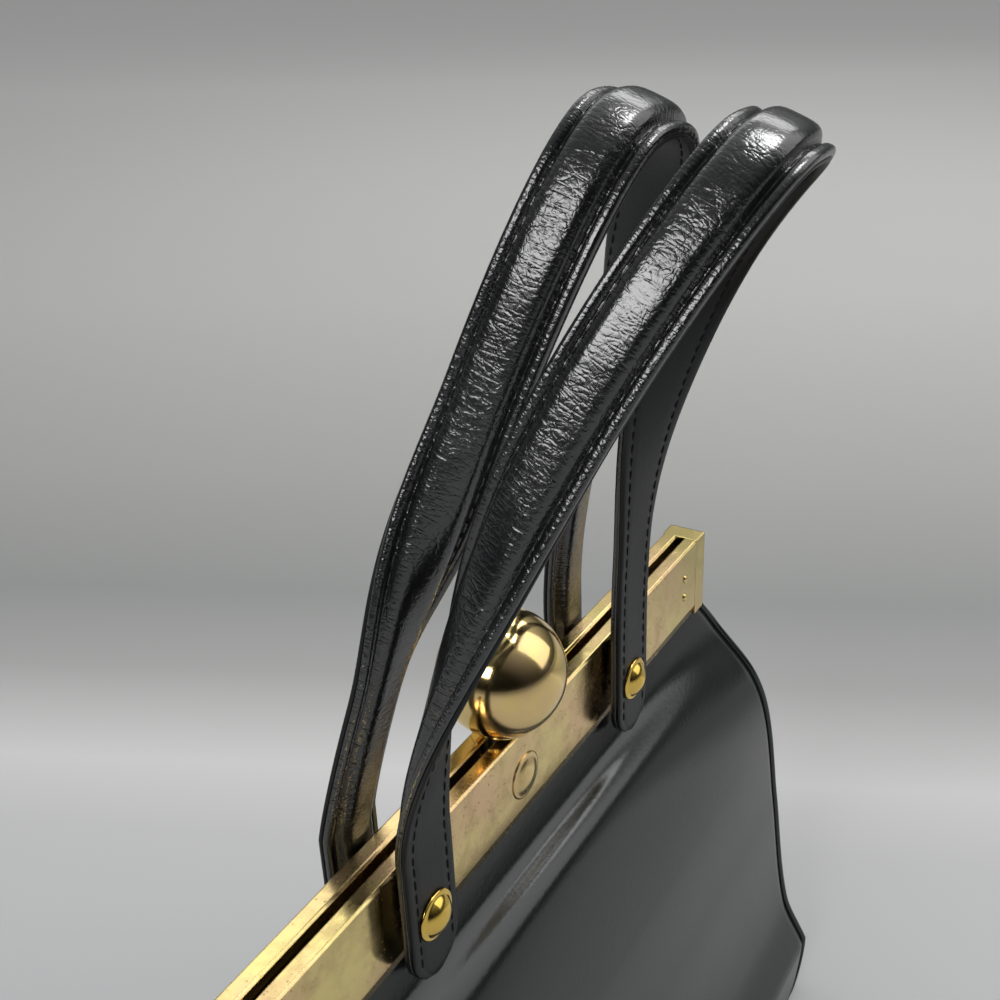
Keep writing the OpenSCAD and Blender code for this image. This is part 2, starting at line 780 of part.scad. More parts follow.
// The lining follows the boards, and above them it lies against the leather up to the clamp.
module lining_profile(inset, z0) {
    low = board_inset + board + slip + inset;
    high = leather + slip + inset;
    right = concat([for (z = levels(0, z0, board_top + slip)) [depth_at(z) - low, z]],
        [for (z = levels(0, board_top + board_clear, neck_z)) [depth_at(z) - high, z]],
        [[leather_in - slip - inset, pack_top]]);
    polygon(concat([for (p = right) [-p[0], p[1]]], turned(right)));
}
module lining_outline(inset) {
    zs = levels(inset, inset, lining_split);
    right = concat([for (z = zs) [width_at(z, inset), z]],
        [[strip_half - inset, lining_split], [strip_half - inset, pack_top]]);
    polygon(concat([for (p = right) [-p[0], p[1]]], turned(right)));
}
module lining_bag() {
    color(LINING) difference() {
        intersection() {
            along_x(-base_width, base_width) lining_profile(0, board_foot);
            along_y(-base_depth, base_depth) lining_outline(board_foot + slip);
        }
        intersection() {
            along_x(-base_width, base_width) lining_profile(cloth, board_foot);
            along_y(-base_depth, base_depth) lining_outline(board_foot + slip + cloth);
        }
        translate([-strip_half, -lining_in, lining_split])
            cube([2 * strip_half, 2 * lining_in, frame_top - lining_split]);
        face_holes();
        at_rear() face_holes();
    }
}
module inner_pocket() {
    inset = board_inset + board + cloth + 2 * slip;
    z1 = board_top - pocket_drop;
    color(LINING) intersection() {
        at_rear() lined_face(inset, 2 * cloth, board_foot, z1 - pocket_h, z1);
        translate([-pocket_w / 2, 0, 0]) cube([pocket_w, base_depth, frame_top]);
    }
}

rear_frame_half();
front_frame_half();
rear_clamp_strip();
front_clamp_strip();
rear_strip_rivets();
front_strip_rivets();
left_hinge_pin();
right_hinge_pin();
left_hinge_spacer();
right_hinge_spacer();
clasp_ball();
ball_base_ring();
clasp_lever();
clasp_pin();
clasp_springs();
clasp_bracket();
clasp_rivet();
catch_stud();
front_handle_cover();
front_handle_core();
front_handle_lining();
rear_handle_cover();
rear_handle_core();
rear_handle_lining();
front_left_tab();
front_right_tab();
rear_left_tab();
rear_right_tab();
front_handle_rivets();
rear_handle_rivets();
front_rivet_washers();
rear_rivet_washers();
front_leather();
back_leather();
left_gusset();
right_gusset();
bottom_leather();
base_board();
front_board();
back_board();
lining_bag();
inner_pocket();
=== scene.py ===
# %% [markdown]
# # A frame purse with a ball clasp
#
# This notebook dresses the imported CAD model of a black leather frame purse. The metal frame, the
# clasp's inner parts and the card boards are right as they come, so they only get a finish. The
# leather, the lining, the straps, the large rivets and the ball are made again here, because they
# need curves, seams and stitches that a plain solid leaves out.

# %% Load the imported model
import json
import math

import bmesh
import bpy
from mathutils import Matrix, Vector

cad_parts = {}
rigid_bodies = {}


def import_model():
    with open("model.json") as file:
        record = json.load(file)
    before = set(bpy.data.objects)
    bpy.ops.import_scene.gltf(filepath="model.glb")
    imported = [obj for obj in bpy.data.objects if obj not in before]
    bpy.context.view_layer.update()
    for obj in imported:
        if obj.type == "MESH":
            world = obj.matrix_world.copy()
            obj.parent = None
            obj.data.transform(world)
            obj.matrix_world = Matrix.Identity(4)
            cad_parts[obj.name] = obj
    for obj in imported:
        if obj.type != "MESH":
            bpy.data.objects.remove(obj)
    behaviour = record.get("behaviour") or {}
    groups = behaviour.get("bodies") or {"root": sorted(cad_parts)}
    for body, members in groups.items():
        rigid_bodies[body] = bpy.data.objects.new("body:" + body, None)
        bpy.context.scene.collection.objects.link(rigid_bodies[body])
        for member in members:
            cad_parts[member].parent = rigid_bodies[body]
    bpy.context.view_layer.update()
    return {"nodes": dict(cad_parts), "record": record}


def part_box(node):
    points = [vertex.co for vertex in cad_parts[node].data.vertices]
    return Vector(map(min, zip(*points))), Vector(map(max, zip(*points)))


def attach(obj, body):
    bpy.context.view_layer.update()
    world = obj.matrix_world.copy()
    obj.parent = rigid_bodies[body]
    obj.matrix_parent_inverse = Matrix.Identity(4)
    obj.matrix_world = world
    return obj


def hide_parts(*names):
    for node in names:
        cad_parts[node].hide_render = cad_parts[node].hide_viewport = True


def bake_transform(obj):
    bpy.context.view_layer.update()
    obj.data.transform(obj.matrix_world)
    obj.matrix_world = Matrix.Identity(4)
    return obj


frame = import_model()
nodes = frame["nodes"]
print("CAD nodes:", len(nodes))

# %% [markdown]
# ## Sizes
#
# All sizes are written in millimetres, the way a bag maker would say them, and turned into metres
# when a mesh is made. Where the box of a CAD piece gives a size, it is read off there. The others
# repeat the part's own numbers or belong to this scene alone.

# %% Sizes read from the frame
MM = 0.001


def box_mm(node):
    low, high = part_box(node)
    return low / MM, high / MM


rear_half_high = box_mm("rear_frame_half")[1]
FRAME_TOP = rear_half_high.z
POST_OUT = rear_half_high.x
HALF_DEPTH = rear_half_high.y
HALF_FRONT = box_mm("front_frame_half")[1].x
PANEL_HEIGHT = 19
LIP_HEIGHT = 3
NECK = FRAME_TOP - (PANEL_HEIGHT + LIP_HEIGHT)
print(f"frame top {FRAME_TOP:.1f}, neck {NECK:.1f}, half length {POST_OUT:.1f} mm")

# %% Sizes of the bag
LEATHER = 1.0
LEATHER_OUT = 3.3
BASE_HALF_WIDTH = box_mm("bottom_leather")[1].x
BASE_HALF_DEPTH = box_mm("back_leather")[1].y
CORNER = 14.0
NECK_HALF_WIDTH = POST_OUT + 1.3
PANEL_TUCK_HALF = HALF_FRONT - 4
TUCK_TOP = FRAME_TOP - 4
DEPTH_SHAPE = [
    (0, 0), (0.08, 0.14), (0.19, 0.43), (0.3, 0.56), (0.55, 0.66), (0.87, 0.8), (1, 1),
]
WIDTH_SHAPE = [
    (0, 0), (0.06, 0.22), (0.15, 0.4), (0.3, 0.57), (0.55, 0.72), (0.87, 0.89), (1, 1),
]

# %% [markdown]
# ## Meshes from rings
#
# Every piece made here is a row of rings: a strap is its cross-section carried along a path, a
# rivet is a circle that grows and shrinks, and each ring of a leather panel goes along its outer
# face and back along its inner face. One helper joins rings into a skin and one makes the object,
# so each piece below is only its own geometry.


# %% Mesh helpers
def skin(rings):
    """Points and faces of a closed skin over rings with the same number of points."""
    count = len(rings[0])
    points = [point for ring in rings for point in ring]
    faces = []
    for r in range(len(rings) - 1):
        for k in range(count):
            a = r * count + k
            b = r * count + (k + 1) % count
            faces.append((a, b, b + count, a + count))
    faces.append(tuple(reversed(range(count))))
    faces.append(tuple(range((len(rings) - 1) * count, len(rings) * count)))
    return points, faces


def circle(steps):
    """The angles of evenly spaced points round a circle."""
    return [2 * math.pi * k / steps for k in range(steps)]


def make_piece(name, points, faces):
    """A smooth mesh object from points in millimetres, with its faces turned outwards."""
    mesh = bpy.data.meshes.new(name)
    mesh.from_pydata([Vector(p) * MM for p in points], [], faces)
    work = bmesh.new()
    work.from_mesh(mesh)
    bmesh.ops.recalc_face_normals(work, faces=work.faces)
    work.to_mesh(mesh)
    work.free()
    mesh.polygons.foreach_set("use_smooth", [True] * len(mesh.polygons))
    piece = bpy.data.objects.new(name, mesh)
    bpy.context.scene.collection.objects.link(piece)
    print(f"{name}: {len(mesh.vertices)} points, {len(mesh.polygons)} faces")
    return piece


def map_along(piece, coordinates):
    """Stores how far along and across each point lies, for marks that follow the piece."""
    layer = piece.data.uv_layers.new(name="along")
    for loop in piece.data.loops:
        layer.data[loop.index].uv = coordinates[loop.vertex_index]


def thick_sheet(grid, thickness):
    """Rings round a sheet: its outer face, then back along its inner face."""
    rows, columns = len(grid), len(grid[0])

    def normal_at(r, c):
        across = grid[r][min(c + 1, columns - 1)] - grid[r][max(c - 1, 0)]
        along = grid[min(r + 1, rows - 1)][c] - grid[max(r - 1, 0)][c]
        return across.cross(along).normalized()

    inner = [
        [grid[r][c] - normal_at(r, c) * thickness for c in range(columns)]
        for r in range(rows)
    ]
    return [grid[r] + inner[r][::-1] for r in range(rows)]


def blend_into(t):
    """A smooth step from 0 to 1."""
    t = max(0.0, min(1.0, t))
    return t * t * (3 - 2 * t)


# %% [markdown]
# ## The outline of the bag
#
# The bag is narrow where the frame grips it and spreads towards its base. Two curves say how: one
# for its depth and one for its width, each a short list of shares of the fall from the frame and
# of the spread. They are the same curves that the CAD solids follow, so the leather made here
# stays where they are, apart from the shoulder below.


# %% Depth and width at a height
def slope_at(shape, k):
    before, after = shape[max(0, k - 1)], shape[min(len(shape) - 1, k + 1)]
    return (after[1] - before[1]) / (after[0] - before[0])


def through(shape, share):
    """Smooth curve through a list of (share, value) points."""
    k = 0
    while share > shape[k + 1][0] and k < len(shape) - 2:
        k += 1
    wide = shape[k + 1][0] - shape[k][0]
    t = (share - shape[k][0]) / wide
    ease = t * t * (3 - 2 * t)
    bend = slope_at(shape, k) * t * (1 - t) ** 2 - slope_at(shape, k + 1) * t * t * (1 - t)
    return shape[k][1] * (1 - ease) + shape[k + 1][1] * ease + wide * bend


def fall(z):
    """How far z lies down from the neck, as a share of the way to the corners."""
    return max(0.0, min(1.0, (NECK - z) / (NECK - CORNER)))


def depth_at(z):
    """Half the depth at z."""
    return LEATHER_OUT + (BASE_HALF_DEPTH - LEATHER_OUT) * through(DEPTH_SHAPE, fall(z))


def width_at(z):
    """Half the width at z. Lower than CORNER it follows the corner's round."""
    if z >= CORNER:
        spread = BASE_HALF_WIDTH - NECK_HALF_WIDTH
        return NECK_HALF_WIDTH + spread * through(WIDTH_SHAPE, fall(z))
    return BASE_HALF_WIDTH - CORNER + math.sqrt(max(0.0, CORNER**2 - (CORNER - z) ** 2))


MIDDLE = NECK / 2
print(f"at mid height the bag is {2 * width_at(MIDDLE):.0f} by {2 * depth_at(MIDDLE):.0f} mm")

# %% [markdown]
# ## Pieces at the mouth
#
# When the frame's front half tips forward, the front leather, the gussets' front edges and the
# lining's front half have to go with it, while everything lower stays. Here the front leather,
# the gussets, the front welt and the front lining only have their placing baked into their points
# and are tied to no body, so they stay where they are made.


def follow_mouth(piece):
    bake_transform(piece)


# %% [markdown]
# ## Front and back leather
#
# Each face is one skin of firm, smooth leather. It comes out from under the frame in a shallow
# valley, rolls over a full shoulder, and then falls nearly straight to the base, where it flares
# a little. The roll fades out at the ends, and the edges curl back towards the seam. A grid of
# points follows these curves, and a second grid a leather's thickness behind it closes the piece.
# Two lists of shares of the roll's height and millimetres give the roll: how far out it stands,
# and how far it lies under the neck.


# %% Face leather
CURL_WIDTH = 4.0
CURL_DEPTH = 1.0
SLACK = 0.7
ROLL_HEIGHT = 43.0
ROLL_FADE = 1.5
FOOT_HEIGHTS = [0.0, 0.6, 1.5, 3, 5, 8, 11, 14]
WALL_ROWS = 40
ROLL_ROWS = 56
HALF_COLUMNS = 44
ROLL_OUT = [
    (0, 3.3), (0.047, 4.3), (0.088, 5.4), (0.13, 6.5), (0.174, 7.8), (0.221, 9.3), (0.263, 10.7),
    (0.302, 12.0), (0.342, 13.2), (0.379, 14.2), (0.419, 15.1), (0.477, 16.2), (0.558, 17.4),
    (0.674, 18.9), (0.814, 20.5), (1, 22.2),
]
ROLL_DROP = [
    (0, 0), (0.047, 2.4), (0.088, 4.6), (0.13, 6.4), (0.174, 7.3), (0.221, 7.7), (0.263, 7.9),
    (0.302, 8.4), (0.342, 9.3), (0.379, 10.7), (0.419, 12.6), (0.477, 15.7), (0.558, 20.1),
    (0.674, 26.4), (0.814, 34.0), (1, 43),
]


def shoulder(z, share):
    """Depth and height of the skin at z, with this share of the roll."""
    depth = depth_at(z)
    if z < NECK - ROLL_HEIGHT:
        return depth, z
    part = (NECK - z) / ROLL_HEIGHT
    level = NECK - through(ROLL_DROP, part)
    out = through(ROLL_OUT, part)
    out += (depth_at(NECK - ROLL_HEIGHT) - ROLL_OUT[-1][1]) * part**3
    return depth + (out - depth) * share, z + (level - z) * share


def face_leather(name, side):
    """side is -1 for the front and 1 for the back."""
    wall = NECK - ROLL_HEIGHT - CORNER
    heights = FOOT_HEIGHTS + [CORNER + wall * k / WALL_ROWS for k in range(1, WALL_ROWS + 1)]
    heights += [NECK - ROLL_HEIGHT * (1 - k / ROLL_ROWS) for k in range(1, ROLL_ROWS + 1)]
    shares = [
        math.sin(math.pi / 2 * k / HALF_COLUMNS) ** 0.85 for k in range(HALF_COLUMNS + 1)
    ]
    across = [-share for share in shares[::-1]] + shares[1:]
    grid = []
    for z in heights:
        width = width_at(z)
        row = []
        for u in across:
            edge = blend_into(1 - (1 - abs(u)) * width / CURL_WIDTH)
            soft = SLACK * math.sin(math.pi * blend_into(z / NECK)) * (1 - u * u)
            depth, level = shoulder(z, math.cos(math.pi / 2 * u) ** ROLL_FADE)
            row.append(Vector((u * width, side * (depth + soft - CURL_DEPTH * edge), level)))
        grid.append(row)
    for z in (NECK + 2, NECK + 10, TUCK_TOP):
        grid.append([Vector((u * PANEL_TUCK_HALF, side * LEATHER_OUT, z)) for u in across])
    if side > 0:
        grid = [row[::-1] for row in grid]
    points, faces = skin(thick_sheet(grid, LEATHER))
    return make_piece(name, points, faces)


front_leather = face_leather("front_panel", -1)
back_leather = face_leather("back_panel", 1)
follow_mouth(front_leather)
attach(back_leather, "bag")
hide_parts("front_leather")
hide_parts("back_leather")

# %% [markdown]
# ## Gussets and bottom
#
# One strip in three pieces joins the two faces: down one end, under the bag and up the other. At
# the ends it is a gusset, which folds inwards at its middle so that the bag can open and close.
# The strip is made from lines across the bag, each as wide as the space between the two faces at
# that height.

# %% Strip pieces
GUSSET_FOLD = 5.0
GUSSET_ROWS = 56
STRIP_COLUMNS = 17
CORNER_STEPS = 10
BASE_STEP = 10
BASE_STRAIGHT = 90


def fold_at(z):
    """How far the gusset's middle lies inwards at z."""
    return GUSSET_FOLD * math.sin(math.pi * blend_into(fall(z)) ** 0.8)


def strip_line(x, z, fold):
    """Points across the bag, from the front seam to the back seam, at one place of the strip."""
    half = depth_at(z) - LEATHER
    line = []
    for k in range(STRIP_COLUMNS):
        y = half * (2 * k / (STRIP_COLUMNS - 1) - 1)
        inward = fold * math.cos(math.pi / 2 * y / half) ** 2
        line.append(Vector((x - math.copysign(inward, x), y, z)))
    return line


def gusset(name, side):
    grid = []
    for k in range(GUSSET_ROWS + 1):
        z = NECK - (NECK - CORNER) * k / GUSSET_ROWS
        grid.append(strip_line(side * width_at(z), z, fold_at(z)))
    if side < 0:
        grid = [line[::-1] for line in grid]
    points, faces = skin(thick_sheet(grid, LEATHER))
    piece = make_piece(name, points, faces)
    follow_mouth(piece)
    return piece


def base_strip():
    corner = [
        CORNER * (1 - math.cos(math.pi / 2 * k / CORNER_STEPS))
        for k in range(CORNER_STEPS, -1, -1)
    ]
    left = [(-width_at(z), z) for z in corner]
    middle = [(x, 0.0) for x in range(-BASE_STRAIGHT, BASE_STRAIGHT + 1, BASE_STEP)]
    right = [(-x, z) for x, z in left[::-1]]
    grid = [strip_line(x, z, 0.0) for x, z in left + middle + right]
    points, faces = skin(thick_sheet(grid, LEATHER))
    return make_piece("base_strip", points, faces)


right_gusset = gusset("right_end", 1)
left_gusset = gusset("left_end", -1)
base_leather = base_strip()
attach(base_leather, "bag")
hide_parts("right_gusset")
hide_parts("left_gusset")
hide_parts("bottom_leather")

# %% [markdown]
# ## Welted seams
#
# Where a face meets the strip, the edges are turned in and sewn, which leaves a narrow rounded
# welt all the way round. It is a thin round section carried along the edge: down one end, round
# the corner, along the base and up again.


# %% Welts
WELT = 0.9
WELT_INSET = 0.8
WELT_ROWS = 60
WELT_CORNER_STEPS = 12


def seam_path():
    """The edge of the face as (x, z) points, from the left neck round the base to the right."""
    heights = [NECK - (NECK - CORNER) * k / WELT_ROWS for k in range(WELT_ROWS + 1)]
    heights += [
        CORNER * (1 - math.sin(math.pi / 2 * k / WELT_CORNER_STEPS))
        for k in range(1, WELT_CORNER_STEPS + 1)
    ]
    right = [(width_at(z), z) for z in heights]
    right += [(x, 0.0) for x in range(BASE_STRAIGHT, 0, -BASE_STEP)]
    return [(-x, z) for x, z in right] + [(0.0, 0.0)] + right[::-1]


def welt(name, side):
    path = [
        Vector((x, side * (depth_at(z) - WELT_INSET), max(z, WELT))) for x, z in seam_path()
    ]
    rings = []
    for k, centre in enumerate(path):
        along = (path[min(k + 1, len(path) - 1)] - path[max(k - 1, 0)]).normalized()
        out = Vector((0, side, 0))
        out = (out - along * out.dot(along)).normalized()
        beside = along.cross(out)
        rings.append([
            centre + (out * math.cos(a) + beside * math.sin(a)) * WELT for a in circle(10)
        ])
    points, faces = skin(rings)
    return make_piece(name, points, faces)


front_welt = welt("front_welt", -1)
back_welt = welt("back_welt", 1)
follow_mouth(front_welt)
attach(back_welt, "bag")

# %% [markdown]
# ## Lining
#
# The lining is a cloth tub that follows the leather and the boards from inside and ends between
# the frame and its clamp strip. It is made in two halves that meet in the middle of the ends: the
# front one is tied to no body, and the rear one is tied to the bag. From a little under the neck it
# narrows to fit into the frame, and both walls dip in the middle, which leaves room for the
# clasp's lever. A pocket with a bound edge lies on the back wall.

# %% Lining tub
LINING_FOOT = 3.4
FOOT_ROUND_TOP = 8
NARROW_FROM = NECK - 12
LINING_HALF_TOP = PANEL_TUCK_HALF - 0.5
END_GAP = 3.6
BOARD_TOP = 98
GAP_ON_BOARD = 2.9
GAP_ON_LEATHER = 1.5
LEAST_DEPTH = 1.5
LEVER_SLOT_HALF = 9.0
SLOT_RISE = 0.04
TUB_ROWS = 26
TUB_WALL = 22
TUB_END = 7


def tub_ring(z):
    """Outline at height z: two straight walls, which dip under the lever, and two folded ends."""
    wide = width_at(z) - END_GAP
    if z > NARROW_FROM:
        wide = min(wide, LINING_HALF_TOP)
    gap = GAP_ON_BOARD if z < BOARD_TOP else GAP_ON_LEATHER
    deep = max(depth_at(z) - gap, LEAST_DEPTH)
    ring = []
    for k in range(TUB_WALL):
        x = wide * math.sin(math.pi / 2 * (2 * k / (TUB_WALL - 1) - 1))
        under_lever = z > NECK and abs(x) < LEVER_SLOT_HALF
        ring.append(Vector((x, -deep, NECK + SLOT_RISE * (z - NECK) if under_lever else z)))
    for k in range(TUB_END):
        y = deep * (2 * (k + 1) / (TUB_END + 1) - 1)
        inward = fold_at(z) * math.cos(math.pi / 2 * y / deep) ** 2
        ripple = 0.4 * math.sin(z * 0.4 + y)
        ring.append(Vector((wide - inward + ripple, y, z)))
    return ring + [Vector((-p.x, -p.y, p.z)) for p in ring]


def lining_half(name, first):
    """One wall with half of both ends. Its first column of points is number first of the ring."""
    tall = NARROW_FROM - FOOT_ROUND_TOP
    heights = [LINING_FOOT + 1.5 * k for k in range(3)]
    heights += [FOOT_ROUND_TOP + tall * k / TUB_ROWS for k in range(TUB_ROWS + 1)]
    heights += [NECK + rise for rise in (-11.5, -8, -4, 0, 4, 10)] + [TUCK_TOP - 0.5]
    rings = [tub_ring(z) for z in heights]
    centre = Vector((0, 0, LINING_FOOT))
    foot = [[centre.lerp(p, share) for p in rings[0]] for share in (0.02, 0.5)]
    half = len(rings[0]) // 2
    grid = [[ring[first + k - len(ring)] for k in range(half + 1)] for ring in foot + rings]
    inner = [[Vector((p.x * 0.996, p.y * 0.985, p.z + 0.3)) for p in row] for row in grid]
    points, faces = skin([row + back[::-1] for row, back in zip(grid, inner)])
    return make_piece(name, points, faces)


right_middle = TUB_WALL + TUB_END // 2
left_middle = right_middle + TUB_WALL + TUB_END
front_lining = lining_half("front_lining", left_middle)
rear_lining = lining_half("rear_lining", right_middle)
follow_mouth(front_lining)
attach(rear_lining, "bag")
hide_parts("lining_bag")
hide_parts("lining_bag")

# %% Pocket
POCKET_HALF = 55.0
POCKET_LOW = 35.0
POCKET_HIGH = 90.0
POCKET_INSET = 3.7
POCKET_GAPE = 0.9
POCKET_ROWS = 14
POCKET_STEPS = 30
CLOTH = 0.4
BINDING_THICK = 0.45
BINDING_HIGH = 1.3


def pocket_panel():
    grid = []
    for k in range(POCKET_ROWS + 1):
        z = POCKET_LOW + (POCKET_HIGH - POCKET_LOW) * k / POCKET_ROWS
        slack = POCKET_GAPE * blend_into(k / POCKET_ROWS)
        row = []
        for c in range(POCKET_STEPS + 1):
            u = 2 * c / POCKET_STEPS - 1
            gape = slack * (1 - u * u)
            row.append(Vector((-u * POCKET_HALF, depth_at(z) - POCKET_INSET - gape, z)))
        grid.append(row)
    points, faces = skin(thick_sheet(grid, CLOTH))
    return make_piece("pocket_panel", points, faces)


def pocket_binding():
    rings = []
    middle_y = depth_at(POCKET_HIGH) - POCKET_INSET - CLOTH / 2
    for c in range(POCKET_STEPS + 1):
        u = 2 * c / POCKET_STEPS - 1
        centre = Vector((u * POCKET_HALF, middle_y - POCKET_GAPE * (1 - u * u), POCKET_HIGH))
        rings.append([
            centre + Vector((0, BINDING_THICK * math.cos(a), BINDING_HIGH * math.sin(a)))
            for a in circle(10)
        ])
    points, faces = skin(rings)
    return make_piece("pocket_binding", points, faces)


pocket = pocket_panel()
binding = pocket_binding()
for piece in (pocket, binding):
    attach(piece, "bag")
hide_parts("inner_pocket")

# %% [markdown]
# ## Straps
#
# A handle is one strap from tab to tab. Its cover is stuffed along the middle, stitched down
# beside the stuffing, and backed by a flat lining. From the bend over its tab each leg turns a
# quarter while it climbs, so that the padded side looks outwards over the arch and the lining
# looks outwards at the tab. Cover and lining are two closed outlines with rounded edges, and a
# function gives their place and turn at each length. Each leg has its own curve: draw_in,
# foot_pull and top_pull shape it as seen from the front, curve says how late it leans forward,
# and turn holds the two heights over the bend between which the leg turns.

# %% Strap sizes
RIVET_HALF = 41.4
RIVET_Z = FRAME_TOP - 11.2
STRAP_HALF = 7.25
STRAP_THICK = 4.9
STRAP_MID = STRAP_THICK / 2
STRAP_GAP = 0.05
STRAP_Y = HALF_DEPTH + STRAP_GAP + STRAP_MID
TAB_TIP = FRAME_TOP - 25
BEND_Z = FRAME_TOP + STRAP_MID + 0.55
STATION_STEP = 1.4
TOP_SLOPE = 0.37
TOP_SHARE = 0.3


def leg(draw_in, foot_pull, top_pull, curve, turn):
    return {
        "draw_in": draw_in, "foot_pull": foot_pull, "top_pull": top_pull,
        "curve": curve, "turn": turn,
    }


HANDLES = {
    "front": {
        "side": -1,
        "rise": 119.0,
        "lean": 43.7,
        "left": leg(-3.8, 38.5, 22.6, 1.57, (0, 87)),
        "right": leg(-2.2, 64.0, 45.0, 2.7, (17, 114)),
    },
    "rear": {
        "side": 1,
        "rise": 121.0,
        "lean": 35.0,
        "left": leg(13.6, 66.7, 18.7, 1.25, (26, 82)),
        "right": leg(6.0, 68.0, 38.0, 1.58, (44, 112)),
    },
}


# %% Strap path
TAB_STEPS = 40
LEG_STEPS = 200


def bezier(a, b, c, d, t):
    back = 1 - t
    return back**3 * a + 3 * back**2 * t * b + 3 * back * t * t * c + t**3 * d


def arch_point(t, handle):
    """Middle of the strap at t: 0 at the left bend, 1 at the top, 2 at the right bend."""
    side = -1 if t < 1 else 1
    own = handle["left" if t < 1 else "right"]
    s = t if t < 1 else 2 - t
    x = bezier(RIVET_HALF, RIVET_HALF - own["draw_in"], own["top_pull"], 0, s)
    h = bezier(0, own["foot_pull"], handle["rise"], handle["rise"], s)
    lean = handle["lean"] * (h / handle["rise"]) ** own["curve"]
    return Vector((side * x, handle["side"] * STRAP_Y - lean, BEND_Z + h))


def middle_line(handle):
    """Close points along the strap's middle, from the left tip over the arch to the right tip."""
    drop = BEND_Z - TAB_TIP
    left, right = arch_point(0, handle), arch_point(2, handle)
    line = [left - Vector((0, 0, drop * (1 - k / TAB_STEPS))) for k in range(TAB_STEPS)]
    line += [arch_point(k / LEG_STEPS, handle) for k in range(2 * LEG_STEPS + 1)]
    return line + [right - Vector((0, 0, drop * (k + 1) / TAB_STEPS)) for k in range(TAB_STEPS)]


def strap_stations(handle, step=STATION_STEP):
    """(centre, along, across, outward, length so far, whole length) at even steps."""
    dense = middle_line(handle)
    lengths = [0.0]
    for a, b in zip(dense, dense[1:]):
        lengths.append(lengths[-1] + (b - a).length)
    total = lengths[-1]
    count = round(total / step)
    stations = []
    place = 0
    for k in range(count + 1):
        want = total * k / count
        while place < len(lengths) - 2 and lengths[place + 1] < want:
            place += 1
        share = (want - lengths[place]) / (lengths[place + 1] - lengths[place])
        centre = dense[place].lerp(dense[place + 1], share)
        ahead = dense[min(place + 3, len(dense) - 1)] - dense[max(place - 2, 0)]
        along = ahead.normalized()
        h = max(0.0, centre.z - BEND_Z)
        own = handle["left" if centre.x < 0 else "right"]
        steep = handle["lean"] * own["curve"] * (h / handle["rise"]) ** (own["curve"] - 1)
        slope = math.atan(steep / handle["rise"])
        near_top = blend_into(1 - abs(2 * want / total - 1) / TOP_SHARE)
        slope += (TOP_SLOPE - slope) * near_top
        plane = Vector((0, -math.cos(slope), -math.sin(slope)))
        across = (plane - along * plane.dot(along)).normalized()
        outward = across.cross(along)
        begin, end = own["turn"]
        turn = math.pi / 2 * (1 - blend_into((h - begin) / (end - begin))) * -handle["side"]
        stations.append((
            centre,
            along,
            across * math.cos(turn) + outward * math.sin(turn),
            outward * math.cos(turn) - across * math.sin(turn),
            want,
            total,
        ))
    return stations


# %% Strap section
FLANGE_TOP = 2.35
GROOVE = 5.0
COVER_HALF = [
    (0.0, 4.4), (1.2, 4.39), (2.3, 4.33), (3.1, 4.17), (3.75, 3.84), (4.2, 3.3), (4.5, 2.66),
    (4.75, 2.1), (5.0, 1.84), (5.22, 2.08), (5.55, 2.4), (6.0, 2.54), (6.5, 2.56), (6.92, 2.44),
    (7.17, 2.1), (7.25, 1.6), (7.22, 1.2), (7.05, 1.0), (5.0, 1.0), (2.5, 1.0),
]
LINING_HALF = [
    (0.0, 0.97), (2.5, 0.97), (5.0, 0.97), (7.05, 0.97), (7.2, 0.85), (7.24, 0.5), (7.15, 0.18),
    (6.9, 0.03), (6.2, 0.0), (5.3, 0.0), (5.0, 0.07), (4.7, 0.0), (3.0, 0.0), (1.5, 0.0),
]


def both_halves(half, close):
    """The whole outline from its right half and the height at which it closes in the middle."""
    return half + [(0.0, close)] + [(-a, t) for a, t in half[:0:-1]]


COVER_SECTION = both_halves(COVER_HALF, 1.0)
LINING_SECTION = both_halves(LINING_HALF, 0.0)
PRESSED = 2
PRESSED_FADE = 9


def strap_ring(station, section):
    """The section at one station: rounded off at the tips, with its padding pressed flat there."""
    centre, along, across, outward, so_far, total = station
    tip = min(so_far, total - so_far)
    narrow = 1.0
    if tip < STRAP_HALF:
        narrow = math.sqrt(max(0.02, 1 - (1 - tip / STRAP_HALF) ** 2))
    flat = blend_into((tip - PRESSED) / PRESSED_FADE)
    ring = []
    for a, t in section:
        height = min(t, FLANGE_TOP) + (t - min(t, FLANGE_TOP)) * flat
        ring.append(centre + across * (a * narrow) + outward * (height - STRAP_MID))
    return ring


# %% Strap pieces
def strap(name, handle, section):
    stations = strap_stations(handle)
    rings = [strap_ring(station, section) for station in stations]
    points, faces = skin(rings)
    piece = make_piece(name, points, faces)
    map_along(piece, [(a * MM, station[4] * MM) for station in stations for a, t in section])
    return piece


STITCH_PITCH = 3.1
STITCH_LENGTH = 2.3
STITCH_SINK = 0.16
THREAD = 0.22
THREAD_ROWS = ((1.76, -1), (0.02, 1))
THREAD_SHAPE = ((-0.5, 0.35), (-0.36, 0.9), (0, 1.0), (0.36, 0.9), (0.5, 0.35))


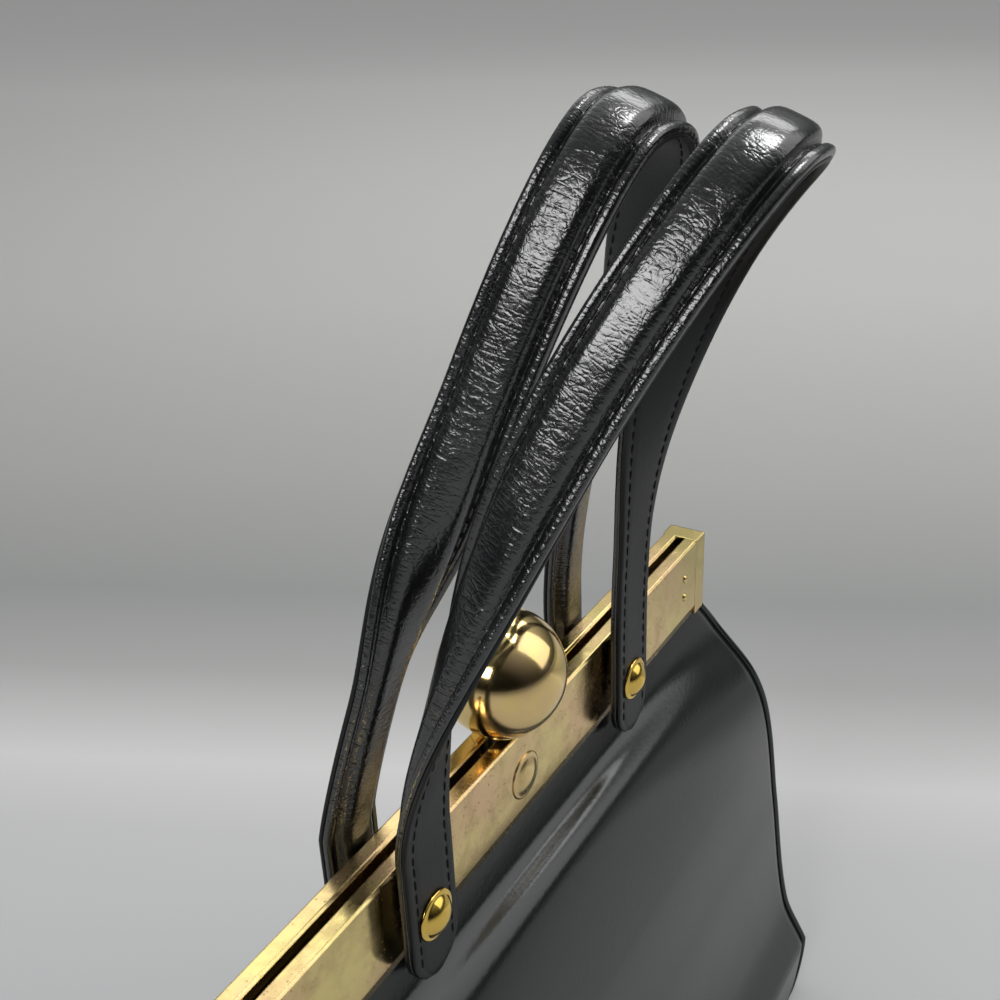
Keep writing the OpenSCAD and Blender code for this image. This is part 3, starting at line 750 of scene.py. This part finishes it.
def stitches(name, handle):
    """Short threads in the grooves beside the padding, and on the lining behind them."""
    stations = strap_stations(handle, STITCH_PITCH)
    points, faces = [], []
    for station in stations[2:-2]:
        centre, along, across, outward = station[:4]
        for a in (-GROOVE, GROOVE):
            for t, inwards in THREAD_ROWS:
                middle = centre + across * a + outward * (t - STRAP_MID)
                rings = []
                for share, radius in THREAD_SHAPE:
                    sink = outward * (STITCH_SINK * (1 - radius)) * inwards
                    place = middle + along * (share * STITCH_LENGTH) + sink
                    rings.append([
                        place + (across * math.cos(b) + outward * math.sin(b)) * THREAD * radius
                        for b in circle(6)
                    ])
                more_points, more_faces = skin(rings)
                base = len(points)
                points += more_points
                faces += [tuple(base + i for i in face) for face in more_faces]
    return make_piece(name, points, faces)


BODY_OF = {"front": ("front_half", "front_handle"), "rear": ("bag", "rear_handle")}
straps, backs, threads = {}, {}, {}
for which, handle in HANDLES.items():
    straps[which] = strap(f"{which}_strap", handle, COVER_SECTION)
    backs[which] = strap(f"{which}_strap_lining", handle, LINING_SECTION)
    threads[which] = stitches(f"{which}_stitches", handle)
    y = handle["side"] * STRAP_Y * MM
    for piece in (straps[which], backs[which], threads[which]):
        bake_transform(piece)
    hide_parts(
        f"{which}_handle_cover",
        f"{which}_handle_core",
        f"{which}_left_tab",
        f"{which}_right_tab",
    )
    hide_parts(f"{which}_handle_lining")

# %% [markdown]
# ## Turned metal
#
# The ball, the ring under it and the rivets are all round. Each is turned like on a lathe: a
# short list of (radius, height) points is spun round an axis, with many steps, because a polished
# round piece shows every facet in its reflections.


# %% Turning
DOME_STEPS = 14


def turned(name, profile, centre, axis, steps=72):
    """Spins (radius, height) points round an axis through centre."""
    axis = Vector(axis).normalized()
    side = axis.orthogonal().normalized()
    other = axis.cross(side)
    rings = [
        [
            Vector(centre) + axis * h + (side * math.cos(a) + other * math.sin(a)) * max(r, 0.001)
            for a in circle(steps)
        ]
        for r, h in profile
    ]
    points, faces = skin(rings)
    return make_piece(name, points, faces)


def dome(radius, height):
    """Profile of a round cap that starts at its rim."""
    cap = (radius**2 + height**2) / (2 * height)
    reach = math.asin(min(1.0, radius / cap))
    angles = [reach * (1 - k / DOME_STEPS) for k in range(DOME_STEPS + 1)]
    return [(cap * math.sin(a), cap * math.cos(a) - cap + height) for a in angles]


# %% Ball and ring
ball_low, ball_high = box_mm("clasp_ball")
BALL_RADIUS = (ball_high.x - ball_low.x) / 2
BALL_BASE = ball_low.z
BALL_CENTRE_Z = ball_high.z - BALL_RADIUS
BALL_STEPS = 60
NECK_RADIUS = 2.4
ring_low, ring_high = box_mm("ball_base_ring")


def ball_profile():
    start = math.asin((BALL_CENTRE_Z - BALL_BASE) / BALL_RADIUS)
    profile = [(NECK_RADIUS, BALL_BASE - BALL_CENTRE_Z + 0.05)]
    for k in range(BALL_STEPS + 1):
        a = -start + (math.pi / 2 + start) * k / BALL_STEPS
        profile.append((BALL_RADIUS * math.cos(a), BALL_RADIUS * math.sin(a)))
    return profile


ball = turned("ball", ball_profile(), (0, 0, BALL_CENTRE_Z), (0, 0, 1), steps=120)
ring_radius = ring_high.x
ring_thick = ring_high.z - ring_low.z
ring_profile = [
    (NECK_RADIUS, 0), (ring_radius - 0.3, 0), (ring_radius - 0.05, 0.12),
    (ring_radius, ring_thick / 2), (ring_radius - 0.05, ring_thick - 0.12),
    (ring_radius - 0.3, ring_thick), (NECK_RADIUS, ring_thick),
]
base_ring = turned("ball_ring", ring_profile, (0, 0, ring_low.z), (0, 0, 1))
for piece, node in ((ball, "clasp_ball"), (base_ring, "ball_base_ring")):
    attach(piece, "clasp")
    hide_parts(node)

# %% Rivets
RIVET_RADIUS = 5.0
SHANK_RADIUS = 1.7
FLANGE = 0.6
BRACKET_RIM = 0.25


def rivet_head(name, x, side):
    face_y = side * (HALF_DEPTH + STRAP_GAP + STRAP_THICK)
    profile = [(SHANK_RADIUS, -2.0), (SHANK_RADIUS, 0.0)]
    profile += [(RIVET_RADIUS - 0.3, 0.0), (RIVET_RADIUS, 0.2)]
    profile += [(RIVET_RADIUS - 0.05, 0.42), (RIVET_RADIUS - 0.4, FLANGE), (4.3, FLANGE)]
    profile += [(r, h + FLANGE) for r, h in dome(4.1, 2.0)]
    return turned(name, profile, (x, face_y, RIVET_Z), (0, side, 0))


for which, handle in HANDLES.items():
    heads = [
        rivet_head(f"{which}_{end}_rivet", x, handle["side"])
        for end, x in (("left", -RIVET_HALF), ("right", RIVET_HALF))
    ]
    for head in heads:
        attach(head, BODY_OF[which][0])
        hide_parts(f"{which}_handle_rivets")

bracket_profile = [
    (SHANK_RADIUS, -2.5), (SHANK_RADIUS, 0.0), (5.15, 0.0), (5.2, 0.15), (4.9, 0.3), (4.55, 0.22),
    (4.35, BRACKET_RIM),
]
bracket_profile += [(r, h + BRACKET_RIM) for r, h in dome(4.2, 1.2)]
bracket_head = turned(
    "bracket_rivet_head", bracket_profile, (0, -HALF_DEPTH, RIVET_Z), (0, -1, 0)
)
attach(bracket_head, "front_half")
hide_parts("clasp_rivet")

# %% [markdown]
# ## Writing materials as sums
#
# A material is easier to read as a sum than as a drawing of wires. The small class below stands
# for one output of a node. Adding, subtracting or multiplying it adds the maths node that does
# so, and everything else comes from one method that takes a node's type, its settings and what
# goes into its sockets.


# %% Wire and finish
class Wire:
    """One output of a node, used in sums like a number."""

    def __init__(self, finish, socket):
        self.finish = finish
        self.socket = socket

    def sum(self, operation, *values):
        inputs = dict(enumerate(values))
        return self.finish.add("ShaderNodeMath", {"operation": operation}, inputs)

    def __add__(self, other):
        return self.sum("ADD", self, other)

    def __mul__(self, other):
        return self.sum("MULTIPLY", self, other)

    def __sub__(self, other):
        return self.sum("SUBTRACT", self, other)

    __radd__ = __add__
    __rmul__ = __mul__


class Finish:
    """A material whose nodes are added by type."""

    def __init__(self, name, **sockets):
        self.owner = bpy.data.materials.new(name)
        self.owner.use_nodes = True
        self.tree = self.owner.node_tree
        self.shader = self.tree.nodes["Principled BSDF"]
        for socket, value in sockets.items():
            self.feed(self.shader, socket.replace("_", " "), value)

    def feed(self, node, socket, value):
        target = node.inputs[socket]
        if isinstance(value, Wire):
            self.tree.links.new(value.socket, target)
        else:
            target.default_value = value

    def add(self, kind, settings=None, inputs=None, output=0):
        node = self.tree.nodes.new(kind)
        for name, value in (settings or {}).items():
            if name == "stops":
                ramp = node.color_ramp.elements
                while len(ramp) < len(value):
                    ramp.new(0.5)
                for element, (place, shade) in zip(ramp, value):
                    grey = isinstance(shade, float)
                    element.position = place
                    element.color = (shade, shade, shade, 1) if grey else shade
            else:
                setattr(node, name, value)
        for socket, value in (inputs or {}).items():
            self.feed(node, socket, value)
        return Wire(self, node.outputs[output])

    def place(self):
        return self.add("ShaderNodeTexCoord", output="Object")

    def noise(self, scale, detail=3.0, roughness=0.5, where=None):
        inputs = {"Scale": scale, "Detail": detail, "Roughness": roughness}
        inputs["Vector"] = where or self.place()
        return self.add("ShaderNodeTexNoise", None, inputs)

    def cells(self, scale, feature="F1", where=None):
        inputs = {"Scale": scale, "Vector": where or self.place()}
        return self.add("ShaderNodeTexVoronoi", {"feature": feature}, inputs, "Distance")

    def stretch(self, where, scale, turn=(0, 0, 0)):
        inputs = {"Vector": where, "Scale": scale, "Rotation": turn}
        return self.add("ShaderNodeMapping", None, inputs)

    def ramp(self, value, *stops):
        return self.add("ShaderNodeValToRGB", {"stops": stops}, {"Fac": value})

    def mix(self, share, first, second):
        inputs = {0: share, 6: first, 7: second}
        return self.add("ShaderNodeMix", {"data_type": "RGBA"}, inputs, 2)

    def bump(self, height, distance, strength):
        inputs = {"Height": height, "Distance": distance, "Strength": strength}
        return self.add("ShaderNodeBump", None, inputs)

    def shade(self, **sockets):
        for socket, value in sockets.items():
            self.feed(self.shader, socket.replace("_", " "), value)
        return self.owner


# %% [markdown]
# ## Leather finishes
#
# The bag's leather is smooth and fairly glossy, with a very fine grain. The straps are glossier
# and have been bent for years, so short creases run across them. Both are nearly black, and most
# of what is seen on them is the room's reflection, so roughness and bump matter more than colour.
# The creases across the straps follow the map along the strap, and the fine crackle between them
# doesn't.


# %% Bag leather
def bag_leather():
    finish = Finish("bag_leather", IOR=1.6)
    grain = finish.cells(1000)
    soft = finish.noise(60, 4)
    fine = finish.noise(2600, 2)
    rub = finish.noise(22, 5, 0.6)
    rough = 0.21 + 0.12 * (rub - 0.5) + 0.06 * (soft - 0.5)
    tone = finish.mix(rub, (0.0045, 0.0068, 0.0064, 1), (0.0085, 0.0115, 0.0105, 1))
    height = 0.5 * grain + 0.35 * fine
    normal = finish.bump(height, 0.00007, 0.45)
    return finish.shade(Base_Color=tone, Roughness=rough, Normal=normal)


# %% Strap leather
def strap_leather():
    finish = Finish("strap_leather", IOR=1.85)
    place = finish.place()
    along = finish.add("ShaderNodeUVMap", {"uv_map": "along"})
    wander = finish.add(
        "ShaderNodeTexNoise", None, {"Vector": place, "Scale": 420, "Detail": 2}, "Color"
    )
    bent = finish.add("ShaderNodeVectorMath", {"operation": "MULTIPLY_ADD"}, {
        0: wander, 1: (0.0024, 0.0024, 0.0024), 2: place,
    }, "Vector")
    wide_crackle = finish.cells(400, "DISTANCE_TO_EDGE", bent)
    crackle = finish.cells(850, "DISTANCE_TO_EDGE", bent)
    folds = finish.stretch(along, (150, 620, 1), (0, 0, 0.12))
    fold = finish.cells(1.0, "DISTANCE_TO_EDGE", folds)
    slants = finish.stretch(along, (210, 520, 1), (0, 0, 0.75))
    slant = finish.cells(1.0, "DISTANCE_TO_EDGE", slants)
    worn = finish.noise(48, 4, 0.6)
    where = finish.ramp(worn, (0.3, 0.2), (0.58, 1.0))
    wide = finish.ramp(wide_crackle, (0.0, 0.0), (0.12, 1.0))
    fine = finish.ramp(crackle, (0.0, 0.0), (0.2, 1.0))
    across = finish.ramp(fold, (0.0, 0.0), (0.13, 1.0))
    slanting = finish.ramp(slant, (0.0, 0.0), (0.1, 1.0))
    soft = finish.noise(330, 3)
    creases = 0.4 * wide + 0.3 * fine + 0.4 * across + 0.4 * slanting
    normal = finish.bump(0.3 * soft + where * creases, 0.00013, 0.65)
    rough = 0.19 + 0.06 * where + 0.08 * (soft - 0.5)
    tone = finish.mix(where, (0.002, 0.0023, 0.003, 1), (0.006, 0.0065, 0.007, 1))
    return finish.shade(Base_Color=tone, Roughness=rough, Normal=normal)


def strap_back_leather():
    finish = Finish("strap_back_leather", IOR=1.4)
    grain = finish.cells(1300)
    rub = finish.noise(60, 4, 0.6)
    tone = finish.mix(rub, (0.003, 0.0035, 0.004, 1), (0.008, 0.009, 0.010, 1))
    normal = finish.bump(grain, 0.00005, 0.4)
    return finish.shade(Base_Color=tone, Roughness=0.34 + 0.14 * rub, Normal=normal)


def thread_finish():
    finish = Finish("waxed_thread", Roughness=0.85, IOR=1.3)
    twist = finish.noise(3000, 2)
    tone = finish.mix(twist, (0.004, 0.004, 0.0045, 1), (0.016, 0.016, 0.017, 1))
    return finish.shade(Base_Color=tone)


def lining_cloth():
    finish = Finish("lining_cloth", Roughness=0.6)
    place = finish.place()
    warp = finish.noise(1.0, 1, 0.5, finish.stretch(place, (2600, 2600, 300)))
    weft = finish.noise(1.0, 1, 0.5, finish.stretch(place, (300, 300, 2600)))
    tone = finish.mix(warp * weft, (0.012, 0.010, 0.009, 1), (0.060, 0.052, 0.045, 1))
    normal = finish.bump(warp + weft, 0.00008, 0.4)
    return finish.shade(Base_Color=tone, Normal=normal)


# %% [markdown]
# ## Metal finishes
#
# The frame is old polished brass: pale gold, with fine rubbed scratches along its length, cloudy
# patches where hands have dulled it, and small dark specks. Its edges are rounded a little in the
# shading only. The ball and the strap rivets are gilt and cleaner. Steel parts inside are plain.


# %% Brass, gilt and steel
def frame_brass():
    finish = Finish("frame_brass", Metallic=1.0)
    cloud = finish.noise(38, 5, 0.62)
    stain = finish.noise(130, 5, 0.7)
    rubbed = finish.noise(1.0, 3, 0.6, finish.stretch(finish.place(), (60, 2400, 2400)))
    specks = finish.cells(620)
    speckled = finish.ramp(cloud, (0.4, 0.0), (0.55, 1.0))
    speck = finish.ramp(specks, (0.0, 1.0), (0.2, 0.0)) * speckled
    patch = finish.ramp(cloud, (0.4, 0.0), (0.62, 1.0))
    blotch = finish.ramp(stain, (0.46, 0.0), (0.66, 1.0))
    tone = finish.mix(patch, (0.86, 0.71, 0.28, 1), (0.82, 0.56, 0.31, 1))
    tone = finish.mix(blotch * 0.45, tone, (0.50, 0.36, 0.16, 1))
    tone = finish.mix(speck * 0.8, tone, (0.14, 0.09, 0.05, 1))
    rough = 0.12 + 0.1 * patch + 0.12 * blotch + 0.12 * (rubbed - 0.5) + 0.2 * speck
    scratched = finish.bump(rubbed + 0.4 * stain, 0.000012, 0.4)
    edges = finish.add(
        "ShaderNodeBevel", {"samples": 6}, {"Radius": 0.0004, "Normal": scratched}
    )
    return finish.shade(Base_Color=tone, Roughness=rough, Normal=edges)


def gilt_finish(name, clean, cloudy):
    finish = Finish(name, Metallic=1.0)
    cloud = finish.noise(90, 4, 0.6)
    patch = finish.ramp(cloud, (0.4, 0.0), (0.7, 1.0))
    tone = finish.mix(patch, clean, cloudy)
    brushed = finish.stretch(finish.place(), (3000, 500, 900), (0.4, 0.3, 0.8))
    hair = finish.noise(1.0, 2, 0.5, brushed)
    rough = 0.09 + 0.09 * patch + 0.06 * (hair - 0.5)
    return finish.shade(Base_Color=tone, Roughness=rough)


def plain_steel():
    finish = Finish("plain_steel", Metallic=1.0)
    brushed = finish.noise(1.0, 2, 0.5, finish.stretch(finish.place(), (90, 2000, 2000)))
    tone = finish.mix(brushed, (0.50, 0.50, 0.51, 1), (0.66, 0.66, 0.67, 1))
    return finish.shade(Base_Color=tone, Roughness=0.28 + 0.15 * brushed)


def fibre_card():
    finish = Finish("fibre_card", Roughness=0.85)
    fibres = finish.noise(700, 4, 0.7)
    tone = finish.mix(fibres, (0.33, 0.26, 0.18, 1), (0.50, 0.41, 0.30, 1))
    return finish.shade(Base_Color=tone, Normal=finish.bump(fibres, 0.0001, 0.4))


# %% Put the finishes on
leather = bag_leather()
handle_leather = strap_leather()
handle_back = strap_back_leather()
waxed_thread = thread_finish()
cloth = lining_cloth()
brass = frame_brass()
gilt = gilt_finish("gilt", (0.88, 0.68, 0.26, 1), (0.84, 0.58, 0.32, 1))
rivet_gilt = gilt_finish("rivet_gilt", (0.91, 0.67, 0.14, 1), (0.80, 0.52, 0.12, 1))
steel = plain_steel()
card = fibre_card()

NEW_FINISHES = {
    leather: [
        front_leather, back_leather, right_gusset, left_gusset, base_leather, front_welt, back_welt,
    ],
    handle_leather: list(straps.values()),
    handle_back: list(backs.values()),
    waxed_thread: list(threads.values()),
    cloth: [front_lining, rear_lining, pocket, binding],
    gilt: [ball, base_ring],
    rivet_gilt: [o for o in bpy.data.objects if o.name.endswith("_rivet")],
    brass: [bracket_head],
}
for finish, pieces in NEW_FINISHES.items():
    for piece in pieces:
        piece.data.materials.clear()
        piece.data.materials.append(finish)

SLOT_FINISHES = {
    "brass": brass, "steel": steel, "gilt": gilt, "black_leather": leather, "filler": card,
    "card": card, "lining_cloth": cloth,
}
for entry in frame["record"]["subparts"]:
    for slot in nodes[entry["node"]].material_slots:
        slot.material = SLOT_FINISHES[entry["material_slot"]]
print("finishes:", len(bpy.data.materials))

# %% [markdown]
# ## Room, light and camera
#
# The purse stands in soft daylight from large windows, on a floor that is one wide plane. Its
# colour holds painted light and shade: a darker band of painted shade about a quarter to half a
# metre away, where a pale table gives way to a pale wall, and a tone that grows paler far out,
# painted to make up for the lamps' light falling off with distance. Wide soft lamps stand in for
# windows: black leather and polished metal show them as long gentle highlights. The camera's place
# comes from the photograph's perspective, in millimetres from the middle of the frame's top.

# %% Camera
CAMERA_FROM_TOP = Vector((-179.5, -113.4, 159.7))
LOOK = Vector((0.7563, 0.4712, -0.4540))
RIGHT = Vector((0.5110, -0.8587, -0.0403))
FOCAL_PIXELS = 1279.5
IMAGE_PIXELS = 1000
SENSOR = 36.0


def make_camera():
    data = bpy.data.cameras.new("camera")
    data.sensor_width = SENSOR
    data.lens = FOCAL_PIXELS / IMAGE_PIXELS * SENSOR
    data.clip_start = 0.01
    camera = bpy.data.objects.new("camera", data)
    bpy.context.scene.collection.objects.link(camera)
    look = LOOK.normalized()
    right = (RIGHT - look * RIGHT.dot(look)).normalized()
    up = right.cross(look)
    turn = Matrix((right, up, -look)).transposed().to_4x4()
    place = (CAMERA_FROM_TOP + Vector((0, 0, FRAME_TOP))) * MM
    camera.matrix_world = Matrix.Translation(place) @ turn
    bpy.context.scene.camera = camera


make_camera()

# %% Floor
# The floor's painted light and shade change along this axis.
PAINTED_LIGHT_AXIS = Vector((0.912, 0.411, 0))
FLOOR_REACH = 2.0
FLOOR_SIZE = 14


def floor_with_painted_light():
    finish = Finish("floor_painted_light", Roughness=0.9)
    place = finish.place()
    away = finish.add(
        "ShaderNodeVectorMath", {"operation": "DOT_PRODUCT"}, {0: place, 1: PAINTED_LIGHT_AXIS}, "Value"
    )
    # Painted light and shade: a darker band of painted shade from about 0.2 to 0.5 m out, then
    # paler out to 1.8 m to make up for the lamps' falloff.
    tone = finish.ramp(
        away * (1 / FLOOR_REACH),
        (0.02, (0.45, 0.455, 0.46, 1)),
        (0.07, (0.50, 0.50, 0.50, 1)),
        (0.09, (0.58, 0.58, 0.575, 1)),
        (0.122, (0.36, 0.36, 0.355, 1)),
        (0.155, (0.28, 0.285, 0.28, 1)),
        (0.22, (0.37, 0.37, 0.36, 1)),
        (0.38, (0.52, 0.52, 0.505, 1)),
        (0.9, (0.85, 0.845, 0.83, 1)),
    )
    return finish.shade(Base_Color=tone)


bpy.ops.mesh.primitive_plane_add(size=FLOOR_SIZE)
floor = bpy.context.object
floor.name = "floor"
floor.data.materials.append(floor_with_painted_light())


# %% Lamps
def window(name, place, target, width, height, power):
    data = bpy.data.lights.new(name, "AREA")
    data.shape = "RECTANGLE"
    data.size, data.size_y = width, height
    data.energy = power
    lamp = bpy.data.objects.new(name, data)
    lamp.location = place
    lamp.rotation_euler = (Vector(target) - Vector(place)).to_track_quat("-Z", "Y").to_euler()
    bpy.context.scene.collection.objects.link(lamp)


PURSE = (0, 0, 0.2)
window("ceiling_lamp", (0.31, -0.32, 1.45), PURSE, 0.36, 0.34, 6.0)
window("window_far", (1.09, 0.08, 1.22), PURSE, 0.7, 0.6, 4.2)
window("window_back", (0.8, 0.75, 1.22), PURSE, 0.8, 0.6, 1.3)
window("window_right", (0.72, -0.9, 1.0), PURSE, 1.1, 1.4, 5.4)
window("window_left", (-1.1, 0.16, 0.83), (0, 0, 0.26), 0.85, 0.4, 7.6)


# %% The room's own light
WINDOW_SIDE = Vector((0.85, 0.2, 0.3)).normalized()
ROOM_GREY = (0.42, 0.425, 0.42, 1)


class Room(Finish):
    """The world around the scene, made with the same sums."""

    def __init__(self, name):
        self.owner = bpy.data.worlds.new(name)
        self.owner.use_nodes = True
        self.tree = self.owner.node_tree
        self.shader = self.tree.nodes["Background"]


def daylit_room():
    """Brighter upwards and towards the windows. Where the camera sees past the floor it is grey."""
    surround = Room("daylit_room")
    toward = surround.add("ShaderNodeTexCoord", output="Generated")
    upward = surround.add("ShaderNodeSeparateXYZ", None, {0: toward}, "Z")
    facing = surround.add(
        "ShaderNodeVectorMath", {"operation": "DOT_PRODUCT"}, {0: toward, 1: WINDOW_SIDE}, "Value"
    )
    high = surround.ramp(upward, (0.0, 0.05), (0.2, 0.16), (0.6, 0.5), (1.0, 0.7))
    side = surround.ramp(facing * 0.5 + 0.5, (0.2, 0.04), (0.5, 0.4), (0.8, 1.0))
    seen = surround.add("ShaderNodeLightPath", output="Is Camera Ray")
    tone = surround.mix(high * side, (0.0, 0.0, 0.0, 1), (0.98, 1.0, 1.0, 1))
    tone = surround.mix(seen, tone, ROOM_GREY)
    bpy.context.scene.world = surround.shade(Color=tone, Strength=1.0)


daylit_room()
bpy.context.scene.view_settings.view_transform = "Standard"

# %% Finish
bpy.context.view_layer.update()
